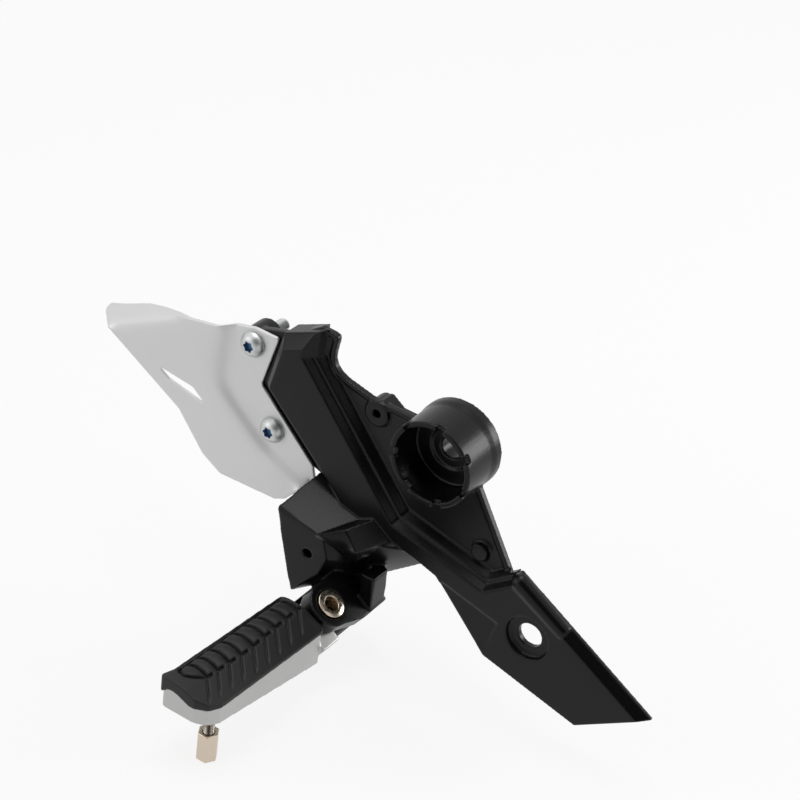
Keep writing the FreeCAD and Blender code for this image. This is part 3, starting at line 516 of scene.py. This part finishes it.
@dataclass
class HangerCasting:
    """Black cast plate with its cup, fin, bracket and ears.

    Each corner is a point in millimetres and the distance over which it is eased, more towards its core.
    """

    voxel: float = 0.62 * MM
    passes: int = 4
    keep: float = 0.30
    corner_passes: int = 28
    corner_core: float = 2.0
    corners: tuple[tuple[float, float, float, float], ...] = (
        (-82.0, -40.0, -61.0, 15.0),
        (-68.0, -40.0, -110.6, 9.0),
        (-22.0, -22.0, -84.0, 14.0),
        (-22.0, -20.0, -105.0, 10.0),
    )

    def build(self, bench: Bench) -> None:
        """Round the casting's edges and paint it.

        Args:
            bench: The workbench.
        """
        piece = bench.softened("hanger_casting", self.voxel, self.passes)
        self.ease_corners(piece)
        bench.thin(piece, self.keep)
        piece.vertex_groups.clear()
        bench.hand_over(piece, "casting", Slot.BLACK_CASTING, Body.HANGER, "hanger_casting")

    def ease_corners(self, piece: bpy.types.Object) -> None:
        """Round the bracket's corners more than the other edges.

        Args:
            piece: The casting.
        """
        group = piece.vertex_groups.new(name="corners")
        for vertex in piece.data.vertices:
            spot = vertex.co / MM
            near = max(1.0 - (spot - Vector(corner)).length / reach for *corner, reach in self.corners)
            if near > 0.0:
                group.add([vertex.index], min(self.corner_core * near, 1.0), "REPLACE")
        Bench.smooth(piece, self.corner_passes, group.name)


@dataclass
class HeelGuard:
    """Folded light sheet behind the heel, with its two button-headed screws.

    A screw is given as its end of the guard and its X and Z, its head and the drive's floor as radius and
    height. The drive's radius and span bound the faces that take its colour. The screws' lengths are in
    millimetres.
    """

    voxel: float = 0.55 * MM
    passes: int = 4
    keep: float = 0.35
    rim: int = 2
    rim_normal: float = 0.6
    bend: int = 260
    flange: float = -12.0
    screws: tuple[tuple[str, float, float], ...] = (("upper", -125.0, 8.5), ("lower", -107.5, -38.0))
    shank_sides: int = 32
    shank_length: float = 28.0
    head_foot: float = 7.2
    head: tuple[Pair, ...] = ((7.5, 0.9), (7.3, 1.6), (6.8, 2.5), (6.0, 3.5), (4.9, 4.4), (4.1, 4.85),
                              (3.6, 5.0), (3.3, 4.9))
    drive_lobes: int = 6
    drive_hollow: float = 0.78
    drive_floor: Pair = (3.1, 2.5)
    drive_radius: float = 3.28
    drive_span: Pair = (-4.86, -1.5)

    def build(self, bench: Bench) -> None:
        """Soften the folds of the sheet, finish it and add the screws.

        Args:
            bench: The workbench.
        """
        piece = bench.softened("heel_guard", self.voxel, self.passes)
        self.press(piece)
        bench.thin(piece, self.keep)
        bench.hand_over(piece, "guard", Slot.GUARD_SHEET, Body.HANGER, "heel_guard")
        drive = DRIVE_FINISH.build()
        for end, x, z in self.screws:
            place = Vector((x, self.flange, z))
            screw = self.screw(place)
            bench.hand_over(screw, f"screw_{end}", Slot.ZINC, Body.HANGER, f"guard_screw_{end}")
            screw.data.materials.append(drive)
            for face in screw.data.polygons:
                off = face.center / MM - place
                deep = self.drive_span[0] < off.y < self.drive_span[1]
                face.material_index = int(deep and math.hypot(off.x, off.z) < self.drive_radius)

    def press(self, piece: bpy.types.Object) -> None:
        """Ease the folds into wide bends, leaving the rim as it is.

        Args:
            piece: The sheet.
        """
        Bench.take(piece)
        bpy.ops.object.mode_set(mode="EDIT")
        bpy.ops.mesh.select_mode(type="VERT")
        bpy.ops.mesh.select_all(action="DESELECT")
        bpy.ops.object.mode_set(mode="OBJECT")
        for vertex in piece.data.vertices:
            vertex.select = abs(vertex.normal.y) < self.rim_normal
        bpy.ops.object.mode_set(mode="EDIT")
        for _ in range(self.rim):
            bpy.ops.mesh.select_more()
        bpy.ops.mesh.select_all(action="INVERT")
        bpy.ops.mesh.vertices_smooth(factor=Bench.SMOOTHING, repeat=self.bend)
        bpy.ops.object.mode_set(mode="OBJECT")
        bpy.ops.object.shade_smooth()

    def screw(self, place: Vector) -> bpy.types.Object:
        """Turn one screw with a domed head and a six-lobed drive.

        Args:
            place: Where the head sits, in millimetres.

        Returns:
            The screw.
        """
        thread = Thread.GUARD_SCREW
        shank = Turning(thread.radius, 0.0, self.shank_sides).threaded(thread, self.shank_length)
        shaft = shank.stood(place, Vector((0.0, 1.0, 0.0)))
        work = Turning(self.head_foot, 0.0)
        for radius, height in self.head:
            work.to(radius, height)
        work.lobes(self.drive_lobes, self.drive_hollow).to(*self.drive_floor)
        head = work.stood(place, Vector((0.0, -1.0, 0.0)))
        return Bench.joined(head, shaft)


@dataclass
class PivotSet:
    """Hollow pin, washer, ring and torsion spring of the peg's pivot.

    The spring's sizes and the place of the pin's head are in millimetres, their tilt in degrees.
    """

    pin_edge: float = 0.66 * MM
    washer_edge: float = 0.3 * MM
    circlip_edge: float = 0.15 * MM
    tilt: float = 55.0
    head: Vector = field(default_factory=lambda: Vector((-34.4, -50.0, -95.0)))
    spring_low: float = -28.2
    spring_radius: float = 7.6
    wire: float = 0.75
    wire_sides: int = 12
    pitch: float = 1.55
    turns: int = 3
    turn_steps: int = 32
    leg: float = 10.0

    def build(self, bench: Bench) -> None:
        """Break the edges of the small parts, wind the spring and plate them.

        Args:
            bench: The workbench.
        """
        pin = bench.bevelled("pivot_pin", self.pin_edge)
        bench.hand_over(pin, "pin", Slot.NICKEL, Body.HANGER, "pivot_pin")
        washer = bench.bevelled("pin_washer", self.washer_edge)
        bench.hand_over(washer, "washer", Slot.ZINC, Body.HANGER, "pin_washer")
        circlip = bench.bevelled("pin_circlip", self.circlip_edge)
        bench.hand_over(circlip, "circlip", Slot.SPRING_STEEL, Body.HANGER, "pin_circlip")
        bench.hand_over(self.spring(), "spring", Slot.SPRING_STEEL, Body.HANGER, "return_spring")

    def spring(self) -> bpy.types.Object:
        """Wind the torsion spring round the pin, with straight legs at its ends.

        Returns:
            The spring.
        """
        Bench.clear()
        bpy.ops.mesh.primitive_circle_add(vertices=self.wire_sides, radius=self.wire * MM,
                                          fill_type="NOTHING", location=(self.spring_radius * MM, 0.0, 0.0),
                                          rotation=(math.pi / 2.0, 0.0, 0.0))
        coil = bpy.context.object
        bpy.ops.object.transform_apply(location=True, rotation=True, scale=False)
        Bench.apply(coil, "SCREW", axis="Z", screw_offset=self.pitch * MM, iterations=self.turns,
                    steps=self.turn_steps, render_steps=self.turn_steps, use_merge_vertices=True)
        bpy.ops.object.mode_set(mode="EDIT")
        bpy.ops.mesh.select_all(action="DESELECT")
        bpy.ops.mesh.select_mode(type="EDGE")
        bpy.ops.mesh.select_non_manifold()
        bpy.ops.mesh.extrude_region_move(TRANSFORM_OT_translate={"value": (0.0, -self.leg * MM, 0.0)})
        bpy.ops.mesh.edge_face_add()
        bpy.ops.mesh.select_all(action="SELECT")
        bpy.ops.mesh.normals_make_consistent(inside=False)
        bpy.ops.object.mode_set(mode="OBJECT")
        Bench.take(coil)
        bpy.ops.object.shade_smooth()
        tilt = math.radians(self.tilt)
        axis = Vector((math.cos(tilt), 0.0, math.sin(tilt)))
        side = Vector((math.sin(tilt), 0.0, -math.cos(tilt)))
        turn = Matrix((side, Vector((0.0, 1.0, 0.0)), axis)).transposed().to_4x4()
        coil.matrix_world = Matrix.Translation((self.head + axis * self.spring_low) * MM) @ turn
        bpy.ops.object.transform_apply(location=True, rotation=True, scale=True)
        return coil


@dataclass
class Tread:
    """Rubber tread: a crowned pad with arched cross grooves, hooks at their front ends and creases below.

    A spot on it is given as millimetres along it from the root and across it from the rear edge. The profile
    is drops across the pad, the front its width at the root and at the tip. A groove and a crease are a depth
    and a half width. The shoulder, where the grooves end, is its distance at the root, its slope and its
    limit. A start is where a line begins and where it is full.
    """

    voxel: float = 0.40 * MM
    pad_passes: int = 5
    relief_passes: int = 1
    keep: float = 0.5
    root: float = -63.1
    length: float = 90.9
    root_rear: float = -57.9
    tip_rear: float = -65.4
    top: float = -93.3
    profile: tuple[Pair, ...] = ((0.0, -1.17), (4.25, -0.26), (8.5, 0.0), (12.75, -0.39), (17.0, -1.56))
    front: Pair = (29.3, 33.3)
    front_drop: float = -7.8
    end_margin: float = 0.6
    cut_depth: float = 3.0
    cut_span: Pair = (-1.0, 28.5)
    cut_normal: float = -0.35
    wall: float = 0.4
    wall_normal: float = 0.25
    top_normal: float = 0.2
    rim_slope: float = 0.040
    bead: float = 1.5
    grooves: tuple[float, ...] = (2.6, 12.2, 21.7, 30.7, 40.1, 49.5, 58.4, 66.9, 74.6)
    groove: Pair = (2.1, 0.78)
    groove_rear: Pair = (-0.4, 0.2)
    groove_front: Pair = (0.4, 0.5)
    middle: float = 10.0
    arch_front: Pair = (0.8, 6.5)
    arch_rear: float = 2.6
    arch_edge: float = 4.0
    arch_edge_power: int = 12
    edge_start: Pair = (1.0, 3.0)
    edge_end: Pair = (79.4, 0.8)
    shoulder: Triple = (13.4, 0.088, 17.4)
    leaf: tuple[Pair, ...] = ((78.6, 4.3), (81.6, 4.9), (83.6, 6.8), (84.0, 10.4), (81.8, 13.4), (78.4, 16.0),
                              (76.0, 17.2))
    pillow: float = 0.60
    pillow_reach: float = 4.5
    hook: float = 5.6
    hook_blend: float = 0.4
    hook_start: float = 0.5
    crease: Pair = (1.2, 0.55)
    crease_slope: float = 0.95
    crease_lead: float = 0.4
    crease_start: Pair = (0.3, 1.3)
    crease_run: float = 12.5
    crease_fade: float = 6.0

    def build(self, bench: Bench) -> bpy.types.Object:
        """Plane the rubber's straight cuts, remesh it and mould its relief.

        Args:
            bench: The workbench.

        Returns:
            The tread.
        """
        piece = bench.copy("peg_rubber")
        bench.remesh(piece, self.voxel)
        self.plane(piece)
        bench.remesh(piece, self.voxel)
        bench.smooth(piece, self.pad_passes)
        self.mould(piece)
        bench.smooth(piece, self.relief_passes)
        bench.thin(piece, self.keep)
        bench.take(piece)
        bpy.ops.object.shade_smooth()
        return piece

    def spot(self, point: Vector) -> Pair:
        """Where a point lies on the tread.

        Args:
            point: A point in metres.

        Returns:
            Its distances along and across.
        """
        along = self.root - point.y / MM
        rear = self.root_rear + (self.tip_rear - self.root_rear) * along / self.length
        return along, point.x / MM - rear

    def height(self, along: float, across: float) -> float:
        """Height of the plain pad at a spot, in millimetres.

        Args:
            along: Distance from the root.
            across: Distance from the rear edge.

        Returns:
            The height.
        """
        front = self.front[0] + (self.front[1] - self.front[0]) * along / self.length
        points = (*self.profile, (front, self.front_drop))
        for (start, low), (end, high) in zip(points, points[1:]):
            if across <= end:
                return self.top + low + (high - low) * (across - start) / (end - start)
        return self.top + self.front_drop

    def plane(self, piece: bpy.types.Object) -> None:
        """Raise the straight cuts to the plain pad.

        Args:
            piece: The rubber.
        """
        first, last = self.cut_span
        normals = [vertex.normal.copy() for vertex in piece.data.vertices]
        for vertex, normal in zip(piece.data.vertices, normals):
            along, across = self.spot(vertex.co)
            if not self.end_margin < along < self.length - self.end_margin or not first < across < last:
                continue
            wall = across < self.rim_slope * along + self.wall
            height = self.height(along, across)
            faces_up = normal.z > (self.wall_normal if wall else self.cut_normal)
            if faces_up and height - self.cut_depth < vertex.co.z / MM < height:
                vertex.co.z = height * MM

    def mould(self, piece: bpy.types.Object) -> None:
        """Press the relief into the pad.

        Args:
            piece: The rubber.
        """
        normals = [vertex.normal.copy() for vertex in piece.data.vertices]
        for vertex, normal in zip(piece.data.vertices, normals):
            along, across = self.spot(vertex.co)
            if normal.z > self.top_normal and across < self.front[0] and 0.0 < along < self.length:
                vertex.co -= normal * self.relief(along, across) * MM

    def relief(self, along: float, across: float) -> float:
        """Depth of the relief at a spot, in millimetres.

        Args:
            along: Distance from the root.
            across: Distance from the rear edge.

        Returns:
            The depth below the plain pad.
        """
        deep, wide = self.groove
        edge = self.bead + self.rim_slope * along
        front = min(self.shoulder[0] + self.shoulder[1] * along, self.shoulder[2])
        off = min((along - self.arch(across, edge) - place for place in self.grooves), key=abs)
        inside = self._fade(across, edge + self.groove_rear[0], edge + self.groove_rear[1])
        inside *= self._fade(front + self.groove_front[0] - across, 0.0, self.groove_front[1])
        line = max(inside * self._line(off, wide), self._line(self._leaf_distance(along, across), wide))
        pillow = inside * self.pillow * max(0.0, 1.0 - abs(off) / self.pillow_reach) ** 2
        edge_line = self._line(across - edge, wide) * self._fade(along, *self.edge_start)
        edge_line *= self._fade(self.edge_end[0] - along, 0.0, self.edge_end[1])
        hook = self._line(across - front, wide)
        hook *= self._fade(off, -self.hook - self.hook_blend, -self.hook + self.hook_blend)
        hook *= self._fade(self.hook_start - off, 0.0, self.hook_start)
        crease = self.creases(along - self.arch(front, edge), across - front)
        return max(pillow + deep * line, deep * edge_line, deep * hook, crease)

    def creases(self, along: float, run: float) -> float:
        """Depth of the creases down the front, in millimetres.

        Args:
            along: Distance from the root, less the bend of the grooves' front ends.
            run: Distance from the front ends of the grooves.

        Returns:
            The depth.
        """
        deep, wide = self.crease
        slip = along - self.crease_lead - self.crease_slope * run
        side = min((slip - place for place in self.grooves), key=abs) / math.hypot(1.0, self.crease_slope)
        fade = self._fade(run, *self.crease_start) * self._fade(self.crease_run - run, 0.0, self.crease_fade)
        return deep * self._line(side, wide) * fade

    def arch(self, across: float, edge: float) -> float:
        """How far a cross groove bends towards the tip at a distance from the rear edge.

        Args:
            across: Distance from the rear edge.
            edge: Distance of the edge groove from the rear edge.

        Returns:
            The bend in millimetres.
        """
        if across > self.middle:
            return self.arch_front[0] * ((across - self.middle) / self.arch_front[1]) ** 2
        share = min((self.middle - across) / (self.middle - edge), 1.0)
        return self.arch_rear * share ** 2 + self.arch_edge * share ** self.arch_edge_power

    def _leaf_distance(self, along: float, across: float) -> float:
        """Distance of a spot from the outline of the leaf at the tip.

        Args:
            along: Distance from the root.
            across: Distance from the rear edge.

        Returns:
            The distance in millimetres.
        """
        here = Vector((along, across, 0.0))
        near = math.inf
        for start, end in zip(self.leaf, self.leaf[1:]):
            first, last = Vector((*start, 0.0)), Vector((*end, 0.0))
            step = last - first
            share = min(max((here - first).dot(step) / step.length_squared, 0.0), 1.0)
            near = min(near, (here - first - step * share).length)
        return near

    @staticmethod
    def _line(off: float, wide: float) -> float:
        """Rounded section of a groove, one at its middle."""
        return math.exp(-((off / wide) ** 2))

    @staticmethod
    def _fade(value: float, low: float, high: float) -> float:
        """Ease from nothing at one value to one at another."""
        share = min(max((value - low) / (high - low), 0.0), 1.0)
        return share * share * (3.0 - 2.0 * share)


@dataclass
class Footpeg:
    """Folding peg with its rubber tread and its feeler, whose place and stud are in millimetres."""

    voxel: float = 0.5 * MM
    passes: int = 4
    keep: float = 0.35
    feeler: Vector = field(default_factory=lambda: Vector((-38.2, -146.0, -103.5)))
    stud_sides: int = 32
    stud_plain: float = 8.0
    stud_length: float = 29.0
    sleeve_edge: float = 0.5 * MM

    def build(self, bench: Bench) -> None:
        """Build the cast peg, the tread and the feeler.

        Args:
            bench: The workbench.
        """
        piece = bench.softened("peg_body", self.voxel, self.passes, self.keep)
        bench.hand_over(piece, "peg", Slot.SILVER_CASTING, Body.FOOTPEG, "peg_body")
        bench.hand_over(Tread().build(bench), "tread", Slot.RUBBER, Body.FOOTPEG, "peg_rubber")
        thread = Thread.FEELER
        work = Turning(thread.radius, 0.0, self.stud_sides).to(thread.radius, self.stud_plain)
        stud = work.threaded(thread, self.stud_length).stood(self.feeler, Vector((0.0, 0.0, -1.0)))
        bench.hand_over(stud, "stud", Slot.ZINC, Body.FOOTPEG, "feeler_stud")
        stud.data.materials[0] = STUD_FINISH.build()
        sleeve = bench.bevelled("feeler_sleeve", self.sleeve_edge)
        bench.hand_over(sleeve, "sleeve", Slot.NICKEL, Body.FOOTPEG, "feeler_sleeve")


@dataclass
class Studio:
    """Camera, pale floor and soft lamps.

    The camera's angles are in degrees, its focal length and places in the picture in pixels, its scale in
    pixels to a millimetre. A lamp is its name, its place and the side of its square in metres, and its watts.
    """

    azimuth: float = 30.2
    elevation: float = 33.0
    roll: float = 7.6
    focal: float = 2222.0
    scale: float = 2.0
    aim: Vector = field(default_factory=lambda: Vector((0.0, -30.0, 0.0)) * MM)
    aim_pixel: Pair = (428.6, 465.6)
    centre: float = 400.0
    sensor: float = 36.0
    nearest: float = 0.01
    floor_radius: float = 4.0
    floor_sides: int = 96
    floor_grey: float = 0.9
    floor_white: float = 0.85
    sky_light: float = 0.45
    flag_radius: float = 1.5
    flag_sides: int = 48
    flag_distance: float = 2.6
    flag_grey: float = 0.02
    lamp_aim: Triple = (-0.03, -0.05, -0.03)
    lamps: tuple[tuple[str, Triple, float, float], ...] = (
        ("back_lamp", (1.0, 1.1, 0.34), 0.7, 12.5),
        ("top_lamp", (-0.25, 0.1, 1.5), 0.9, 9.0),
        ("front_lamp", (-1.0, -1.1, 0.5), 0.8, 3.0),
    )

    def axes(self) -> tuple[Vector, Vector, Vector]:
        """Directions of the picture: right, up and towards the camera.

        Returns:
            The three unit vectors.
        """
        az, el, roll = (math.radians(a) for a in (self.azimuth, self.elevation, self.roll))
        back = Vector((math.cos(el) * math.sin(az), -math.cos(el) * math.cos(az), math.sin(el)))
        flat = Vector((math.cos(az), math.sin(az), 0.0))
        rise = back.cross(flat)
        right = flat * math.cos(roll) + rise * math.sin(roll)
        up = rise * math.cos(roll) - flat * math.sin(roll)
        return right, up, back

    def camera(self) -> None:
        """Stand the camera where the picture was taken from."""
        right, up, back = self.axes()
        distance = self.focal / self.scale * MM
        across = (self.aim_pixel[0] - self.centre) / self.focal * distance
        down = (self.aim_pixel[1] - self.centre) / self.focal * distance
        place = self.aim - right * across + up * down + back * distance
        lens = bpy.data.cameras.new("picture_camera")
        lens.sensor_width = self.sensor
        lens.lens = self.focal / (2.0 * self.centre) * self.sensor
        lens.clip_start = self.nearest
        camera = bpy.data.objects.new("picture_camera", lens)
        bpy.context.scene.collection.objects.link(camera)
        turn = Matrix((right, up, back)).transposed().to_4x4()
        camera.matrix_world = Matrix.Translation(place) @ turn
        bpy.context.scene.camera = camera

    def floor(self, height: float) -> None:
        """Lay a wide pale floor under the object.

        Args:
            height: Height of the floor in metres.
        """
        Bench.clear()
        bpy.ops.mesh.primitive_circle_add(vertices=self.floor_sides, radius=self.floor_radius,
                                          fill_type="NGON", location=(0.0, 0.0, height))
        ground = bpy.context.object
        ground.name = "pale_floor"
        bpy.ops.object.transform_apply(location=True, rotation=False, scale=False)
        material = bpy.data.materials.new("pale_floor")
        material.use_nodes = True
        nodes, links = material.node_tree.nodes, material.node_tree.links
        nodes.clear()
        matte = nodes.new("ShaderNodeBsdfDiffuse")
        matte.inputs["Color"].default_value = self._grey(self.floor_grey)
        white = nodes.new("ShaderNodeEmission")
        white.inputs["Color"].default_value = self._grey(1.0)
        mix = nodes.new("ShaderNodeMixShader")
        links.new(self._seen(nodes, links, self.floor_white), mix.inputs["Fac"])
        links.new(matte.outputs["BSDF"], mix.inputs[1])
        links.new(white.outputs["Emission"], mix.inputs[2])
        out = nodes.new("ShaderNodeOutputMaterial")
        links.new(mix.outputs["Shader"], out.inputs["Surface"])
        ground.data.materials.append(material)
        ground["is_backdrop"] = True

    @staticmethod
    def _grey(level: float) -> tuple[float, float, float, float]:
        """Opaque grey of a level."""
        return level, level, level, 1.0

    @staticmethod
    def _seen(nodes: bpy.types.Nodes, links: bpy.types.NodeLinks, share: float) -> bpy.types.NodeSocket:
        """Socket that is a share for camera, mirror and glass rays, and nothing for other light.

        Args:
            nodes: Nodes of the tree to add to.
            links: Links of that tree.
            share: Value for the rays that see the background.

        Returns:
            The socket.
        """
        path = nodes.new("ShaderNodeLightPath")
        first = nodes.new("ShaderNodeMath")
        first.operation = "MAXIMUM"
        links.new(path.outputs["Is Camera Ray"], first.inputs[0])
        links.new(path.outputs["Is Glossy Ray"], first.inputs[1])
        second = nodes.new("ShaderNodeMath")
        second.operation = "MAXIMUM"
        links.new(first.outputs["Value"], second.inputs[0])
        links.new(path.outputs["Is Transmission Ray"], second.inputs[1])
        third = nodes.new("ShaderNodeMath")
        third.operation = "MULTIPLY"
        third.inputs[1].default_value = share
        links.new(second.outputs["Value"], third.inputs[0])
        return third.outputs["Value"]

    def sky(self) -> None:
        """Surround the scene with soft white light."""
        world = bpy.data.worlds.new("white_room")
        world.use_nodes = True
        nodes, links = world.node_tree.nodes, world.node_tree.links
        soft = nodes["Background"]
        soft.inputs["Color"].default_value = self._grey(1.0)
        soft.inputs["Strength"].default_value = self.sky_light
        white = nodes.new("ShaderNodeBackground")
        white.inputs["Color"].default_value = self._grey(1.0)
        white.inputs["Strength"].default_value = 1.0
        mix = nodes.new("ShaderNodeMixShader")
        links.new(self._seen(nodes, links, 1.0), mix.inputs["Fac"])
        links.new(soft.outputs["Background"], mix.inputs[1])
        links.new(white.outputs["Background"], mix.inputs[2])
        links.new(mix.outputs["Shader"], nodes["World Output"].inputs["Surface"])
        bpy.context.scene.world = world

    def flag(self) -> None:
        """Hang a dark flag behind the camera, so that faces towards it stay deep."""
        _, _, back = self.axes()
        Bench.clear()
        bpy.ops.mesh.primitive_circle_add(vertices=self.flag_sides, radius=self.flag_radius,
                                          fill_type="NGON", location=back * self.flag_distance,
                                          rotation=back.to_track_quat("Z", "Y").to_euler())
        flag = bpy.context.object
        flag.name = "dark_flag"
        flag.visible_camera = False
        bpy.ops.object.transform_apply(location=True, rotation=True, scale=False)
        material = bpy.data.materials.new("dark_flag")
        material.use_nodes = True
        shader = material.node_tree.nodes["Principled BSDF"]
        shader.inputs["Base Color"].default_value = self._grey(self.flag_grey)
        shader.inputs["Roughness"].default_value = 1.0
        shader.inputs["Specular IOR Level"].default_value = 0.0
        flag.data.materials.append(material)
        flag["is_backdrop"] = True

    def lamp(self, name: str, place: Triple, size: float, watts: float) -> None:
        """Hang a square soft lamp that points at the object.

        Args:
            name: Name of the lamp.
            place: Where it hangs, in metres.
            size: Side of its square in metres.
            watts: Its power.
        """
        light = bpy.data.lights.new(name, "AREA")
        light.size = size
        light.energy = watts
        lamp = bpy.data.objects.new(name, light)
        bpy.context.scene.collection.objects.link(lamp)
        lamp.location = place
        lamp.visible_camera = False
        lamp.rotation_euler = (Vector(self.lamp_aim) - Vector(place)).to_track_quat("-Z", "Y").to_euler()

    def build(self, height: float) -> None:
        """Set up the whole studio.

        Args:
            height: Height of the floor in metres.
        """
        self.camera()
        self.floor(height)
        self.sky()
        self.flag()
        for lamp in self.lamps:
            self.lamp(*lamp)
        bpy.context.scene.view_settings.view_transform = "Standard"


def main() -> None:
    """Build the studio, with its floor just under the object, and every piece."""
    logging.basicConfig(level=logging.INFO)
    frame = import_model()
    low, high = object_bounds()
    bench = Bench(frame)
    Studio().build(low[2] - FLOOR_GAP)
    for assembly in (HangerCasting(), HeelGuard(), PivotSet(), Footpeg()):
        assembly.build(bench)
    Bench.clear()


if __name__ == "__main__":
    main()
